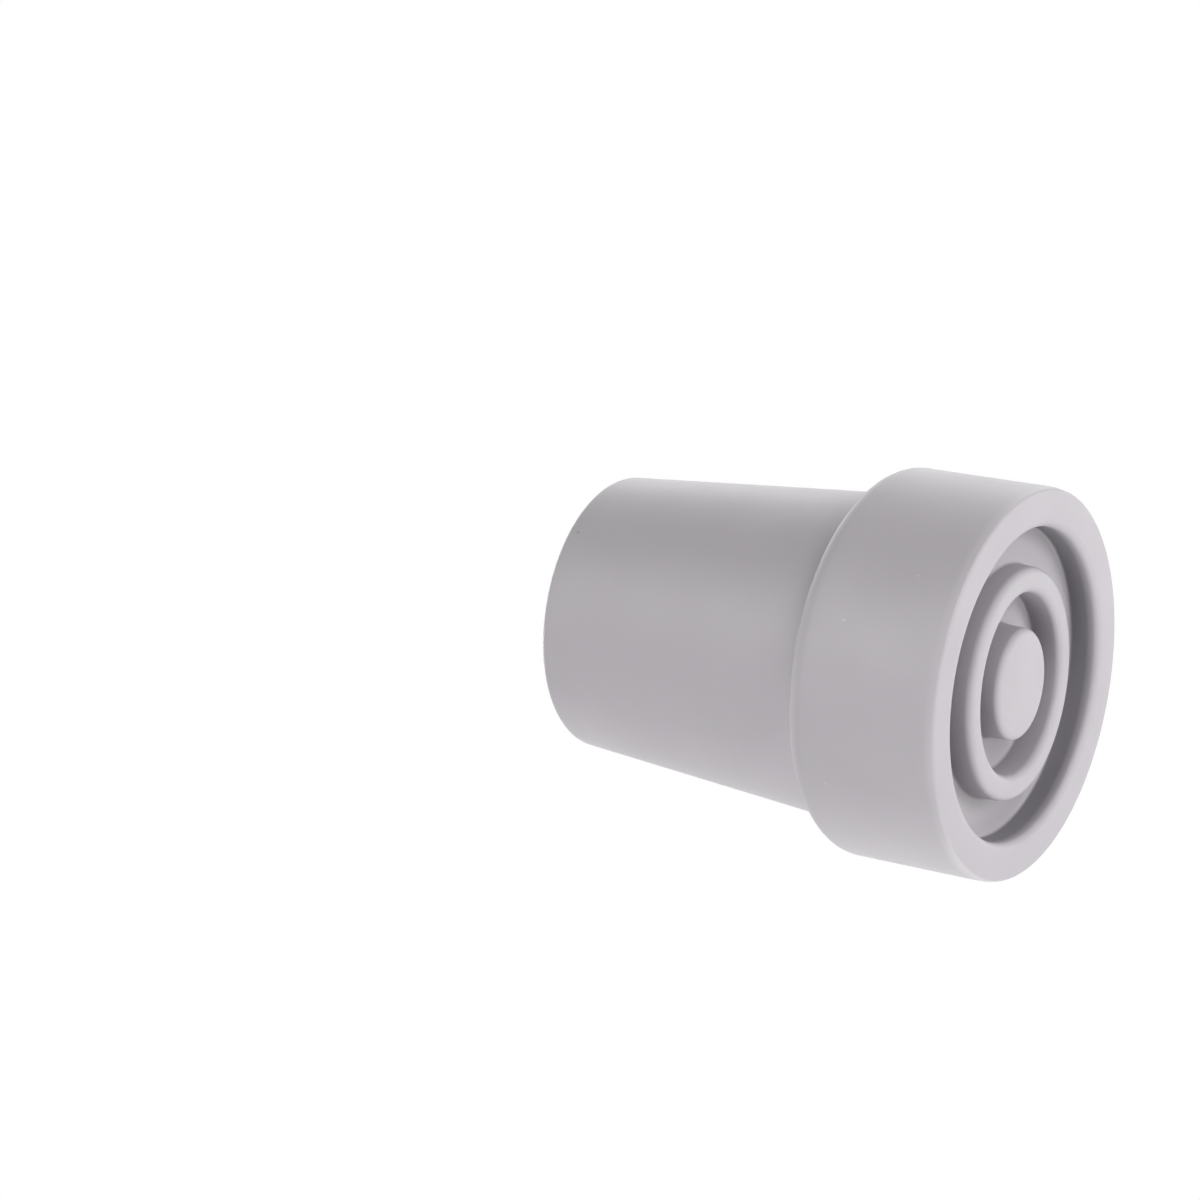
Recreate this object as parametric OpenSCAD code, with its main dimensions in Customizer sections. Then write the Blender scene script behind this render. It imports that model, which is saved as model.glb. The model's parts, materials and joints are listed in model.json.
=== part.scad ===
// Rubber cane tip: one moulding that pushes onto the end of a round shaft.
// It stands on its sole at z = 0, and its axis is +Z, from the sole to the mouth.
// The whole tip is one outline turned round its axis. Millimetres.

/* [Socket] */
// Diameter of the shaft that the socket grips
socket_d = 19; // [12:0.5:22]
// Depth of the socket, from the mouth to its floor
socket_depth = 36; // [20:0.5:40]
// Rounding of the lead-in inside the mouth
lead_in_r = 1; // [0.3:0.1:1.5]
// Rounding between the socket's wall and its floor
socket_floor_r = 1; // [0.3:0.1:2]

/* [Sleeve] */
// Height of the whole tip
tip_h = 46.4; // [44:0.2:60]
// Thickness of the sleeve's wall at the mouth
mouth_wall = 4.2; // [2.5:0.1:6]
// Rounding of the mouth's outer edge
mouth_edge_r = 0.6; // [0.2:0.1:1.5]

/* [Collar] */
// Diameter of the collar
collar_d = 38; // [34:0.5:50]
// Height of the collar's straight side, up to the shoulder
collar_h = 15.9; // [9:0.1:20]
// Width of the shoulder between the collar and the sleeve
shoulder_w = 2.8; // [1.5:0.1:4]
// Rounding of the shoulder's outer edge
shoulder_edge_r = 2; // [0.3:0.1:2.5]
// Fillet in the corner where the sleeve leaves the shoulder
shoulder_fillet_r = 0.3; // [0.2:0.1:1.5]

/* [Sole] */
// Width of the rim that touches the ground
rim_w = 3.7; // [2:0.1:5]
// Depth of the outer groove below the rim
outer_depth = 3.1; // [1.5:0.1:5]
// Depth of the inner groove below the rim
inner_depth = 3.6; // [1.5:0.1:5]
// Height that the ring and the boss stand back from the rim
set_back = 0.6; // [0:0.1:1]
// Diameter of the boss in the middle
boss_d = 10.4; // [6:0.1:13]
// Width of the groove round the boss
inner_groove_w = 3.8; // [2.5:0.1:4.6]
// Width of the ring between the two grooves
ring_w = 2.1; // [1.6:0.1:3.2]
// Draft of the walls of the boss and the ring, in degrees
draft = 3; // [0.5:0.5:12]
// Draft of the rim's wall, in degrees
rim_draft = 1; // [0.5:0.5:6]
// Rounding of the rim's outer edge
sole_edge_r = 0.5; // [0.2:0.1:1.5]
// Rounding of the edges of the grooves
groove_edge_r = 0.7; // [0.2:0.1:1]
// Fillet at the foot of the grooves' walls
groove_root_r = 0.3; // [0.1:0.1:0.8]

/* [Hidden] */
$fn = 96;
rubber_grey = [0.67, 0.67, 0.68];

// Radii from the axis outwards
boss_r = boss_d / 2;
ring_in_r = boss_r + inner_groove_w;
ring_out_r = ring_in_r + ring_w;
collar_r = collar_d / 2;
rim_in_r = collar_r - rim_w;
socket_r = socket_d / 2;
mouth_r = socket_r + mouth_wall;
sleeve_root_r = collar_r - shoulder_w;
// How far a wall leans over its height
function flare(depth, angle) = depth * tan(angle);
inner_flare = flare(inner_depth - set_back, draft);
outer_flare = flare(outer_depth - set_back, draft);
rim_flare = flare(outer_depth, rim_draft);

// The outline's corners, as [radius, height, rounding], from the boss out and up,
// over the mouth and down to the socket's floor.
outline = [
    [0, set_back, 0],
    [boss_r, set_back, groove_edge_r],
    [boss_r + inner_flare, inner_depth, groove_root_r],
    [ring_in_r - inner_flare, inner_depth, groove_root_r],
    [ring_in_r, set_back, groove_edge_r],
    [ring_out_r, set_back, groove_edge_r],
    [ring_out_r + outer_flare, outer_depth, groove_root_r],
    [rim_in_r - rim_flare, outer_depth, groove_root_r],
    [rim_in_r, 0, groove_edge_r],
    [collar_r, 0, sole_edge_r],
    [collar_r, collar_h, shoulder_edge_r],
    [sleeve_root_r, collar_h, shoulder_fillet_r],
    [mouth_r, tip_h, mouth_edge_r],
    [socket_r, tip_h, lead_in_r],
    [socket_r, tip_h - socket_depth, socket_floor_r],
    [0, tip_h - socket_depth, 0],
];

// Each corner is rounded by an arc that touches its two sides. Where two arcs
// would meet on a short side, both are made smaller until they fit on it.
inner = [1:len(outline) - 2];
function place(i) = [outline[i][0], outline[i][1]];
function side(i) = norm(place(i + 1) - place(i));
function towards(i, j) = (place(j) - place(i)) / norm(place(j) - place(i));
function half_angle(i) = acos(towards(i, i - 1) * towards(i, i + 1)) / 2;
// Length that an arc of the full radius takes from each side of its corner
function reach(i) = outline[i][2] == 0 ? 0 : outline[i][2] / tan(half_angle(i));
// Part of the full radius for which there is room on the side after corner i
function room(i) = min(1, 0.98 * side(i) / max(reach(i) + reach(i + 1), 0.001));
function rounding(i) = outline[i][2] * min(room(i - 1), room(i));

// The piece of rubber between a corner and its arc
module spandrel(i) {
    back = towards(i, i - 1);
    ahead = towards(i, i + 1);
    half = half_angle(i);
    reach = rounding(i) / tan(half);
    middle = (back + ahead) / norm(back + ahead);
    difference() {
        polygon([place(i), place(i) + reach * back, place(i) + reach * ahead]);
        translate(place(i) + middle * rounding(i) / sin(half)) circle(rounding(i));
    }
}

// True where the outline turns left, so that the rubber is inside the corner
function is_outer(i) =
    let (u = towards(i - 1, i), v = towards(i, i + 1)) u[0] * v[1] - u[1] * v[0] > 0;

module section() {
    difference() {
        union() {
            polygon([for (c = outline) [c[0], c[1]]]);
            for (i = inner) if (!is_outer(i)) spandrel(i);
        }
        for (i = inner) if (is_outer(i)) spandrel(i);
    }
}

module cane_tip() {
    color(rubber_grey) rotate_extrude() section();
}

cane_tip();
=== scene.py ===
# %% [markdown]
# A rubber cane tip is one moulding: a tapered sleeve that grips the end of a walking
# stick, on a wide collar whose sole has two ring-shaped grooves round a boss. The packed
# model gives its size and place, and this lesson gives it its looks. It stands on its
# sole at the origin, with its mouth up, in metres.

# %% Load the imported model
import json
import math

import bpy
import numpy as np
from mathutils import Matrix, Vector


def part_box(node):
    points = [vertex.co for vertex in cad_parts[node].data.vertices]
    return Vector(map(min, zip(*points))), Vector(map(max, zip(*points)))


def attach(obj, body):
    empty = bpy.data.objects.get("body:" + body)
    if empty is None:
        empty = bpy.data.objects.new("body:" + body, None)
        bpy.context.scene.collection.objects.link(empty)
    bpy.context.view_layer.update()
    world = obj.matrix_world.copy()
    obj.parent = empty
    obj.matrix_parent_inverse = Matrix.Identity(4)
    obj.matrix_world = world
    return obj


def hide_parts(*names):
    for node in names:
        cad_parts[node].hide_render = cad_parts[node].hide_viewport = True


MM = 0.001
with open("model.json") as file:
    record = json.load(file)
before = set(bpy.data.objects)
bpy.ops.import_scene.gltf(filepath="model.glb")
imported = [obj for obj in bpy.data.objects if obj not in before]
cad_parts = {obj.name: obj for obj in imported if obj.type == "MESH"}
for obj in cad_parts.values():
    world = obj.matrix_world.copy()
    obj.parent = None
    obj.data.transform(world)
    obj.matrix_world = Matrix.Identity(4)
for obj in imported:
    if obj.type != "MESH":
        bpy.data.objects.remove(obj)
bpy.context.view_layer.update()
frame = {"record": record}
low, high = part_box("cane_tip")
print("cane tip from", [round(v / MM, 2) for v in low],
      "to", [round(v / MM, 2) for v in high], "mm")

# %% [markdown]
# The camera comes first, because every later choice is judged through it. It looks up at
# the sole from below the floor's level, from far away with a long lens, so that the
# circles stay close to true ellipses. A roll about its line of sight lays the standing
# tip on its side in the view, and the aim lies above the mouth, which puts the tip in
# the right half of the frame.

# %% Camera
CAMERA_AZIMUTH = -90.15  # degrees from +X, seen from above
CAMERA_ELEVATION = -31.71  # degrees above the floor's level, so this one is below it
CAMERA_DISTANCE = 380.7 * MM
CAMERA_ROLL = -79.83  # degrees
CAMERA_LENS = 112.6  # millimetres
CAMERA_SENSOR = 36  # millimetres wide
CAMERA_NEAR = 10 * MM  # nothing nearer than this shows
AIM_ABOVE_MOUTH = 2.17 * MM
AIM_TO_THE_SIDE = 0.86 * MM


def toward(azimuth, elevation):
    """The unit vector at an azimuth from +X and an elevation above the level, in degrees."""
    a, e = math.radians(azimuth), math.radians(elevation)
    return Vector((math.cos(e) * math.cos(a), math.cos(e) * math.sin(a), math.sin(e)))


def look(obj, place, target, roll=0.0):
    """Put obj at place, facing target, rolled by that many degrees about its line of sight."""
    facing = (target - place).to_track_quat("-Z", "Y").to_matrix().to_4x4()
    rolled = Matrix.Rotation(math.radians(roll), 4, "Z")
    obj.matrix_world = Matrix.Translation(place) @ facing @ rolled


aim = Vector((AIM_TO_THE_SIDE, 0, high.z + AIM_ABOVE_MOUTH))
camera = bpy.data.objects.new("camera", bpy.data.cameras.new("camera"))
bpy.context.collection.objects.link(camera)
camera.data.sensor_width = CAMERA_SENSOR
camera.data.lens = CAMERA_LENS
camera.data.clip_start = CAMERA_NEAR
look(camera, aim + CAMERA_DISTANCE * toward(CAMERA_AZIMUTH, CAMERA_ELEVATION), aim, CAMERA_ROLL)
bpy.context.scene.camera = camera
print("camera at", [round(v / MM, 1) for v in camera.matrix_world.translation], "mm")

# %% [markdown]
# The tip is round, so its whole shape is one outline. A moulder cuts that outline into
# the steel and rounds every corner of it, because rubber tears at a sharp one. A Bevel
# modifier could round the finished mesh, but the corners of a line are simpler to round
# one by one, each to its own radius. Here each corner is a radius, a height and the radius
# of its rounding, all in millimetres, from the middle of the sole out to the rim, up the
# collar and the sleeve, over the mouth and down to the socket's floor. The overall sizes
# and the socket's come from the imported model, and the others are the mould's own.

# %% Outline of the tip
mounts = {mount["name"]: mount for mount in frame["record"]["mounts"]}
COLLAR_R = high.x / MM
TIP_H = high.z / MM
SOCKET_R = mounts["socket"]["dims"]["r_mm"]
LEAD_IN_R = 1.0
SOCKET_FLOOR_R = 1.0
SOCKET_DEPTH = mounts["socket"]["dims"]["length_mm"] + LEAD_IN_R + SOCKET_FLOOR_R
MOUTH_WALL = 4.2
MOUTH_EDGE_R = 0.6
SHOULDER_W = 2.8
SHOULDER_EDGE_R = 2.0
SHOULDER_FILLET_R = 0.3
COLLAR_H = 15.9
RIM_W = 3.78
RIM_ROLL_W = 0.17  # the collar's side curls in by this much
RIM_ROLL_H = 0.8  # over this height, just above the rim
RIM_ROLL_R = 3.0  # the rounding with which the curl begins
OUTER_DEPTH = 3.14  # of the groove inside the rim
INNER_DEPTH = 3.7  # of the groove round the boss
SET_BACK = 0.57  # how far the ring and the boss stand back from the rim
BOSS_R = 5.37
INNER_GROOVE_W = 3.42
RING_W = 2.42
DRAFT = math.radians(2)  # of the boss's wall and the ring's outer wall; the others are upright
BOSS_EDGE_R = 0.68
RING_EDGE_R = 0.75
RIM_EDGE_R = 0.68
SOLE_EDGE_R = 0.28
ROOT_R = 0.3

ring_in = BOSS_R + INNER_GROOVE_W
ring_out = ring_in + RING_W
rim_in = COLLAR_R - RIM_W
inner_flare = (INNER_DEPTH - SET_BACK) * math.tan(DRAFT)
outer_flare = (OUTER_DEPTH - SET_BACK) * math.tan(DRAFT)
corners = [
    (0, SET_BACK, 0),
    (BOSS_R, SET_BACK, BOSS_EDGE_R),
    (BOSS_R + inner_flare, INNER_DEPTH, ROOT_R),
    (ring_in, INNER_DEPTH, ROOT_R),
    (ring_in, SET_BACK, RING_EDGE_R),
    (ring_out, SET_BACK, RING_EDGE_R),
    (ring_out + outer_flare, OUTER_DEPTH, ROOT_R),
    (rim_in, OUTER_DEPTH, ROOT_R),
    (rim_in, 0, RIM_EDGE_R),
    (COLLAR_R - RIM_ROLL_W, 0, SOLE_EDGE_R),
    (COLLAR_R, RIM_ROLL_H, RIM_ROLL_R),
    (COLLAR_R, COLLAR_H, SHOULDER_EDGE_R),
    (COLLAR_R - SHOULDER_W, COLLAR_H, SHOULDER_FILLET_R),
    (SOCKET_R + MOUTH_WALL, TIP_H, MOUTH_EDGE_R),
    (SOCKET_R, TIP_H, LEAD_IN_R),
    (SOCKET_R, TIP_H - SOCKET_DEPTH, SOCKET_FLOOR_R),
    (0, TIP_H - SOCKET_DEPTH, 0),
]


def rounded(corners, straight=0.6, arc_steps=9):
    """A line of points along the outline with its corners rounded.

    An arc of radius r fits a corner when its centre lies on the bisector, r / sin(half)
    from the corner, where half is half the angle between the two sides. It then touches
    each side r / tan(half) from the corner. Long straight stretches are cut into equal
    steps, none shorter than straight.
    """
    places = np.array([corner[:2] for corner in corners], float)
    points = [places[:1]]
    for before, here, after, (_, _, r) in zip(places, places[1:], places[2:], corners[1:]):
        back = (before - here) / np.linalg.norm(before - here)
        ahead = (after - here) / np.linalg.norm(after - here)
        half = math.acos(back @ ahead) / 2
        centre = here + (back + ahead) / np.linalg.norm(back + ahead) * r / math.sin(half)
        start, end = here + back * r / math.tan(half), here + ahead * r / math.tan(half)
        bearings = np.unwrap([math.atan2(*(p - centre)[::-1]) for p in (start, end)])
        turn = np.linspace(*bearings, arc_steps)
        points.append(centre + r * np.stack([np.cos(turn), np.sin(turn)], 1))
    points.append(places[-1:])
    line = [points[0]]
    for arc in points[1:]:
        run = arc[0] - line[-1][-1]
        steps = max(int(np.linalg.norm(run) / straight), 1)
        line.append(line[-1][-1] + run * np.arange(1, steps)[:, None] / steps)
        line.append(arc)
    return np.concatenate(line)


outline = rounded(corners) * MM
rim_row = int(np.argmax(outline[:, 0]))  # the rows of points before it are on the sole
print("the outline has", len(outline), "points,", rim_row, "of them on the sole")

# %% [markdown]
# The outline is carried round the axis on a grid: one direction follows the outline, the
# other goes round. The Screw modifier turns an outline too, but a grid of our own can
# still be bent by a formula. Rubber cools unevenly in the mould, so no tip is perfectly
# round. The grid is therefore drawn in by up to three hundredths of a millimetre, in slow
# waves that only a highlight shows. The waves fade out towards the axis and never go
# outside the true size, and the rim stays flat on the floor.

# %% Surface of the tip
TURN_STEPS = 480
WAVE = 0.03 * MM
WAVES = [(2, 60, 0), (3, -140, 1), (5, 210, 4)]  # waves in a turn, radians per metre up, start


def revolve(line, turn_steps, wave):
    """The points of a line carried round the Z axis, as an array of (line, turn, xyz).

    Point (i, j) lies at angle a_j and at radius r_i less its wave. The wave is the sum of
    three slow cosines of the angle and the height, scaled to between 0 and 1.
    """
    angle = np.linspace(0, 2 * np.pi, turn_steps, endpoint=False)[None, :]
    radius, height = line[:, :1], line[:, 1:]
    total = sum(np.cos(count * angle + climb * height + start) for count, climb, start in WAVES)
    depth = total / (2 * len(WAVES)) + 0.5
    shrunk = radius - wave * depth * (radius / radius.max())
    return np.stack([shrunk * np.cos(angle), shrunk * np.sin(angle), height + 0 * angle], -1)


def closed_skin(grid):
    """Vertices and faces of a grid whose first and last rows each shrink to one point.

    Each row meets the next in quads, with the last column joined to the first, and each
    pole is a fan of triangles. Faces keep the order that points them outwards.
    """
    rows, turns = grid.shape[0] - 2, grid.shape[1]
    vertices = np.concatenate([grid[0, :1], grid[1:-1].reshape(-1, 3), grid[-1, :1]])
    here = np.arange(turns)
    beside = np.roll(here, -1)
    start = 1 + turns * np.arange(rows - 1)[:, None]
    above = start + turns
    quads = np.stack([start + here, start + beside, above + beside, above + here], -1)
    first = np.stack([0 * here, 1 + beside, 1 + here], -1)
    last = 1 + turns * (rows - 1)
    final = np.stack([last + here, last + beside, 0 * here + len(vertices) - 1], -1)
    return vertices, [*first.tolist(), *quads.reshape(-1, 4).tolist(), *final.tolist()]


grid = revolve(outline, TURN_STEPS, WAVE)
print("the surface has", grid.shape[0], "by", grid.shape[1], "points")

# %% [markdown]
# A mould like this one can have a separate core for the ring, the boss and the groove
# between them. Such a core may sit a little out of true, and here they lean about 2
# degrees to the right and the back, against the level rim. A lean is one plane: each point
# rises by so much for every step to the right and every step back. Down the ring's outer
# wall it fades out, because the outer groove's floor belongs to the level part.

# %% Lean of the ring and the boss
LEAN_RIGHT = 0.027  # rise for each step towards +X
LEAN_BACK = 0.032  # rise for each step towards +Y


def core_share(line):
    """How much each point of the outline shares in the core's lean, from 0 to 1.

    It is 1 as far out as the middle of the ring, then falls with the height, from 1 on the
    ring to 0 at the outer groove's floor, and it is 0 from there on.
    """
    radius, height = line.T / MM
    down_the_wall = np.clip((OUTER_DEPTH - height) / (OUTER_DEPTH - SET_BACK), 0, 1)
    share = np.where(radius < ring_in + RING_W / 2, 1, down_the_wall)
    share[radius > (ring_out + rim_in) / 2] = 0
    share[rim_row:] = 0
    return share[:, None]


grid[..., 2] += core_share(outline) * (LEAN_RIGHT * grid[..., 0] + LEAN_BACK * grid[..., 1])
on_ring = (outline[:, 0] > ring_in * MM) & (outline[:, 0] < ring_out * MM)
print("the ring's lowest point is", round(float(grid[on_ring, :, 2].min() / MM), 3), "mm up")

# %% [markdown]
# Numpy's arrays become a mesh in one call, because from_pydata takes any list of points
# and any list of faces. The new piece takes the place of the plain CAD solid.

# %% Mesh of the tip
vertices, faces = closed_skin(grid)
mesh = bpy.data.meshes.new("moulded_tip")
mesh.from_pydata(vertices, [], faces)
mesh.polygons.foreach_set("use_smooth", np.ones(len(faces), bool))
mesh.update()
tip = bpy.data.objects.new("moulded_tip", mesh)
bpy.context.collection.objects.link(tip)
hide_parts("cane_tip")
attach(tip, "root")
triangles = sum(len(face) - 2 for face in faces)
print("the tip has", len(vertices), "vertices and", triangles, "triangles")

# %% [markdown]
# The rubber is a grey compound filled with chalk, moulded in smooth steel. It is satin:
# its highlights are broad and soft, with no sharp reflection. Close up, its colour is
# slightly cloudy from the mixing, and its skin has a very fine grain. A material starts
# from three helpers: one turns a colour as a screen shows it into light, one adds a node
# with its settings and its links, and one gives the node tree that they are added to.

# %% Helpers for materials


def linear(code):
    """An sRGB hex colour as linear light, with full opacity as its fourth number.

    Each channel v is v / 12.92 when it is dark, and ((v + 0.055) / 1.055) ^ 2.4 otherwise.
    """
    srgb = [int(code[i:i + 2], 16) / 255 for i in (1, 3, 5)]
    return (*[v / 12.92 if v <= 0.04045 else ((v + 0.055) / 1.055) ** 2.4 for v in srgb], 1)


def add_node(tree, kind, settings=None, inputs=None):
    """Add a node, set its properties, then set or link each input by its name or number."""
    node = tree.nodes.new(kind)
    for name, value in (settings or {}).items():
        setattr(node, name, value)
    for name, value in (inputs or {}).items():
        if isinstance(value, bpy.types.NodeSocket):
            tree.links.new(value, node.inputs[name])
        else:
            node.inputs[name].default_value = value
    return node


def new_tree(datablock):
    """The node tree of a new material or world, with its shader and nothing else changed."""
    datablock.use_nodes = True
    return datablock.node_tree


print("a screen's middle grey, #808080, is", round(linear("#808080")[0], 3), "of full white light")

# %% [markdown]
# The colour isn't quite the same all over. The grooves' walls are darker, and that is
# shade painted into the colour, strongest on the rim's wall. That follows the shape, so it
# is written on the mesh as an attribute, which moves with the mesh and needs no picture. It
# is 0 near the lands and on the flat floors, and it grows down the steep walls: quickly on
# the rim's, and slowly on the ring's and the boss's.

# %% Painted shade on the grooves' walls
# shares of the groove's depth where the painted shade starts and is full, and its strength
RIM_PAINTED_SHADE = (0.15, 0.45, 1.0)
CORE_PAINTED_SHADE = (0.1, 1.0, 0.65)

radius, height = outline.T / MM
along = np.gradient(outline, axis=0)
steepness = np.abs(along[:, 1]) / np.linalg.norm(along, axis=1)
depth = height / np.where(radius > ring_in + RING_W / 2, OUTER_DEPTH, INNER_DEPTH)
on_rim = radius > (ring_out + rim_in) / 2
starts, fulls, strengths = np.where(on_rim, np.transpose([RIM_PAINTED_SHADE]), np.transpose([CORE_PAINTED_SHADE]))
# painted shade: darker down the steep walls of the grooves, where shade falls
dark_skin = strengths * steepness ** 2 * np.clip((depth - starts) / (fulls - starts), 0, 1)
dark_skin[int(np.argmax(radius > rim_in + RIM_W / 2)):] = 0  # from the rim's land onwards
around = np.repeat(dark_skin[1:-1], TURN_STEPS)
per_point = np.concatenate([dark_skin[:1], around, dark_skin[-1:]])
mesh.attributes.new("dark_skin", "FLOAT", "POINT").data.foreach_set("value", per_point)
# the rows counted below are those that carry the painted shade
print("rows of points with dark skin:", int((dark_skin > 0).sum()), "of", len(outline))

# %% [markdown]
# Mixing leaves a few grains of chalk near the skin, each about a third of a millimetre
# wide, and a burnt crumb here and there. A grain that lies deeper shows more faintly. Each
# is placed by its bearing round the tip and its height, and the outline gives its distance
# from the axis.

# %% Places of the grains
CHALK_GRAINS = [(-81.1, 10.7), (12, 21), (104, 33)]
DEEPER_GRAINS = [(-64.6, 4.8), (-130.3, 11.8), (58, 8.2), (151, 6.5)]
BURNT_CRUMBS = [(-59.5, 45.1), (84, 12.6)]
outside = outline[rim_row:int(np.argmax(outline[:, 1]))]


def on_skin(bearing, height):
    """The point of the tip's outside at a bearing in degrees and a height in millimetres."""
    radius = float(np.interp(height * MM, outside[:, 1], outside[:, 0]))
    return Matrix.Rotation(math.radians(bearing), 3, "Z") @ Vector((radius, 0, height * MM))


print(len(CHALK_GRAINS) + len(DEEPER_GRAINS), "grains of chalk and", len(BURNT_CRUMBS), "crumbs")

# %% [markdown]
# The rubber's looks could be painted on a picture, but that would need the skin unwrapped
# and would show a seam. Noise in the tip's own coordinates has none, and its scale is
# given in millimetres. Slow noise mixes two near greys and makes the gloss uneven, quick
# noise is the grain of the skin, and the grains are small balls that the skin cuts.

# %% Grey moulded rubber
# Moulded natural rubber compound: satin, so its roughness is about a half, and its
# reflections are those of rubber, whose index of refraction is about 1.52.
GRAIN_R = 0.2 * MM
CLOUD_SIZE = 9 * MM
SKIN_GRAIN = 0.35 * MM  # the real grain is under 0.1 mm, too fine to show, so it is coarser here
SKIN_RELIEF = 0.01 * MM
ROUGHNESS = (0.46, 0.6)
RUBBER_IOR = 1.52
rubber = bpy.data.materials.new("moulded_grey_rubber")
tree = new_tree(rubber)
shader = tree.nodes["Principled BSDF"]
place = add_node(tree, "ShaderNodeTexCoord").outputs["Object"]
cloud = add_node(tree, "ShaderNodeTexNoise", {}, {
    "Vector": place, "Scale": 1 / CLOUD_SIZE, "Detail": 3.0})
colour = add_node(tree, "ShaderNodeMix", {"data_type": "RGBA"}, {
    0: cloud.outputs["Fac"], 6: linear("#b8b4b9"), 7: linear("#b0acb1")}).outputs[2]
# painted shade on the grooves' walls: the colour is mixed towards dark grey #7a777c by this
# attribute
painted_shade = add_node(tree, "ShaderNodeAttribute", {"attribute_name": "dark_skin"}).outputs["Fac"]
colour = add_node(tree, "ShaderNodeMix", {"data_type": "RGBA"}, {
    0: painted_shade, 6: colour, 7: linear("#7a777c")}).outputs[2]
for places, shade in (
        (CHALK_GRAINS, "#c5c1c6"), (DEEPER_GRAINS, "#bebabf"), (BURNT_CRUMBS, "#98959a")):
    nearest = None
    for bearing, height in places:
        apart = add_node(tree, "ShaderNodeVectorMath", {"operation": "DISTANCE"}, {
            0: place, 1: on_skin(bearing, height)}).outputs["Value"]
        nearest = apart if nearest is None else add_node(
            tree, "ShaderNodeMath", {"operation": "MINIMUM"}, {0: nearest, 1: apart}).outputs[0]
    grain = add_node(tree, "ShaderNodeMapRange", {}, {
        "Value": nearest, "From Min": GRAIN_R, "From Max": GRAIN_R / 3}).outputs[0]
    colour = add_node(tree, "ShaderNodeMix", {"data_type": "RGBA"}, {
        0: grain, 6: colour, 7: linear(shade)}).outputs[2]
tree.links.new(colour, shader.inputs["Base Color"])
gloss = add_node(tree, "ShaderNodeMapRange", {}, {
    "Value": cloud.outputs["Fac"], "To Min": ROUGHNESS[0], "To Max": ROUGHNESS[1]})
tree.links.new(gloss.outputs[0], shader.inputs["Roughness"])
fine = add_node(tree, "ShaderNodeTexNoise", {}, {
    "Vector": place, "Scale": 1 / SKIN_GRAIN, "Detail": 2.0})
bump = add_node(tree, "ShaderNodeBump", {}, {
    "Height": fine.outputs["Fac"], "Strength": 0.3, "Distance": SKIN_RELIEF})
tree.links.new(bump.outputs[0], shader.inputs["Normal"])
shader.inputs["IOR"].default_value = RUBBER_IOR
mesh.materials.append(rubber)
print("the rubber has", len(tree.nodes), "nodes")

# %% [markdown]
# The tip stands on a plain pale floor. The camera looks up from below the floor's level,
# so the floor's underside lets everything through, and only its upper side is painted.
# Away from the tip the paint fades into the white of the world, which leaves no horizon.
# It lies a hair below the sole, because two surfaces in one place would flicker.

# %% Floor
FLOOR_HALF = 0.6
FLOOR_GAP = 0.1 * MM
FADE_START, FADE_END = 0.1, 0.5  # distances from the tip's axis
floor_mesh = bpy.data.meshes.new("floor")
floor_mesh.from_pydata([(x * FLOOR_HALF, y * FLOOR_HALF, -FLOOR_GAP)
                        for x, y in ((-1, -1), (1, -1), (1, 1), (-1, 1))], [], [(0, 1, 2, 3)])
floor = bpy.data.objects.new("floor", floor_mesh)
bpy.context.collection.objects.link(floor)
floor.visible_diffuse = False
floor.visible_glossy = False
floor.visible_transmission = False
floor.visible_shadow = False  # it shows the tip's shadow, and lets the lamps below through
paint = bpy.data.materials.new("white_floor_paint")
tree = new_tree(paint)
matt = tree.nodes["Principled BSDF"]
matt.inputs["Base Color"].default_value = linear("#f6f5f6")
matt.inputs["Roughness"].default_value = 0.9
underside = add_node(tree, "ShaderNodeNewGeometry").outputs["Backfacing"]
spot = add_node(tree, "ShaderNodeTexCoord").outputs["Object"]
away = add_node(tree, "ShaderNodeVectorMath", {"operation": "LENGTH"}, {0: spot}).outputs["Value"]
faded = add_node(tree, "ShaderNodeMapRange", {"interpolation_type": "SMOOTHSTEP"}, {
    "Value": away, "From Min": FADE_START, "From Max": FADE_END}).outputs[0]
unpainted = add_node(tree, "ShaderNodeMath", {"operation": "MAXIMUM"}, {
    0: underside, 1: faded}).outputs[0]
clear = add_node(tree, "ShaderNodeBsdfTransparent")
one_way = add_node(tree, "ShaderNodeMixShader", {}, {
    0: unpainted, 1: matt.outputs[0], 2: clear.outputs[0]})
tree.links.new(one_way.outputs[0], tree.nodes["Material Output"].inputs["Surface"])
floor_mesh.materials.append(paint)
print("the floor is", 2 * FLOOR_HALF, "m wide and fades from", FADE_START, "to", FADE_END, "m")

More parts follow.
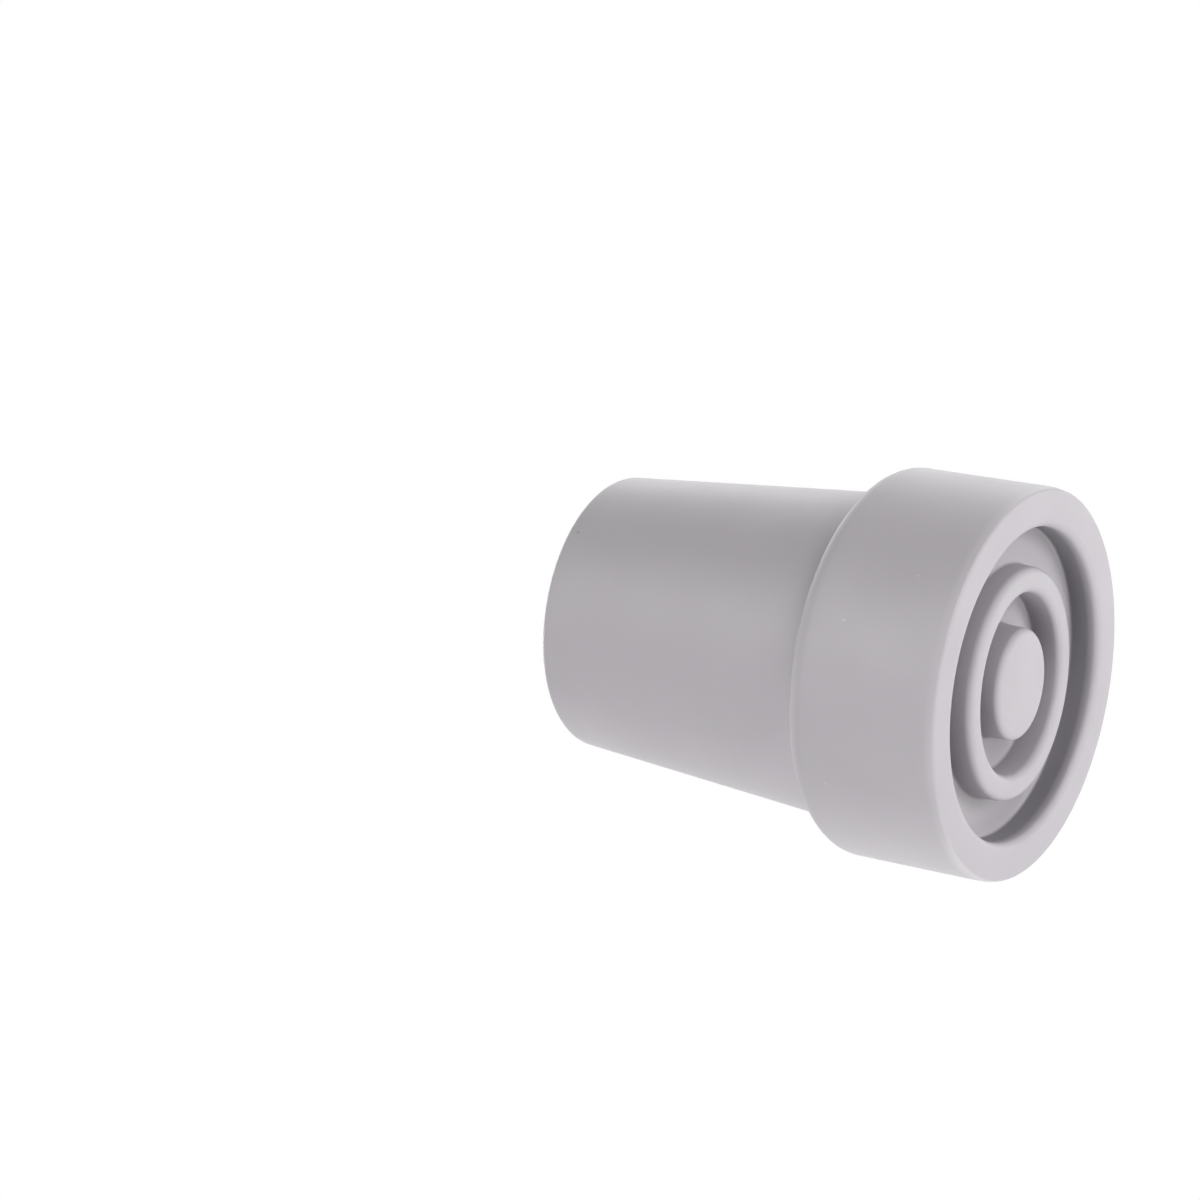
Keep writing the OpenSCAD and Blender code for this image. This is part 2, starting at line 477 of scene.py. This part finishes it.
# %% [markdown]
# The light is that of a white tent: large soft lamps on every side, above and below. One
# even white world would be as soft but show less of the form, and lamps can be weaker
# on one side. A face that looks at nothing but the lamps gets about full white from all of
# them together, so a colour renders about as it is written. The side towards the camera
# gets a little less, which leaves the bright edges that show how round the tip is. The
# world is white to whatever looks at it and lights nothing.

# %% Lamps and world
LAMP_REACH = 0.6
LAMP_SIZE = 0.3
SOFTBOXES = [  # azimuth and elevation in degrees, and the share of full white
    (0, -90, 0.26),
    (0, -66, 0.35),
    (144, -44, 0.29),
    (324, -44, 0.33),
    (75, -22, 0.16),
    (225, -22, 0.30),
    (30, 0, 0.30),
    (150, 0, 0.47),
    (210, 0, 0.33),
    (45, 22, 0.14),
    (285, 22, 0.44),
    (45, 48, 0.11),
    (90, 75, 0.65),
]
middle = (low + high) / 2


def softbox(name, azimuth, elevation, share):
    """A square lamp that faces the tip's middle from LAMP_REACH away.

    A small lamp of power P at a distance d lights a face that looks at it with P / (pi d^2)
    per square metre, and full white is pi per square metre, so P is share times (pi d)^2.
    """
    lamp = bpy.data.lights.new(name, "AREA")
    lamp.size = LAMP_SIZE
    lamp.energy = share * (math.pi * LAMP_REACH) ** 2
    obj = bpy.data.objects.new(name, lamp)
    bpy.context.collection.objects.link(obj)
    obj.visible_camera = False
    look(obj, middle + LAMP_REACH * toward(azimuth, elevation), middle)


for number, settings in enumerate(SOFTBOXES):
    softbox(f"softbox_{number}", *settings)

world = bpy.data.worlds.new("white_tent")
bpy.context.scene.world = world
tree = new_tree(world)
ray = add_node(tree, "ShaderNodeLightPath").outputs
seen = add_node(tree, "ShaderNodeMath", {"operation": "MAXIMUM"}, {
    0: ray["Is Camera Ray"], 1: ray["Is Glossy Ray"]}).outputs[0]
seen = add_node(tree, "ShaderNodeMath", {"operation": "MAXIMUM"}, {
    0: seen, 1: ray["Is Transmission Ray"]}).outputs[0]
tree.nodes["Background"].inputs["Color"].default_value = (1, 1, 1, 1)
tree.links.new(seen, tree.nodes["Background"].inputs["Strength"])
bpy.context.scene.view_settings.view_transform = "Standard"
shares = sum(share for _, _, share in SOFTBOXES)
print(len(SOFTBOXES), "softboxes, which together add", round(shares, 2), "of full white")
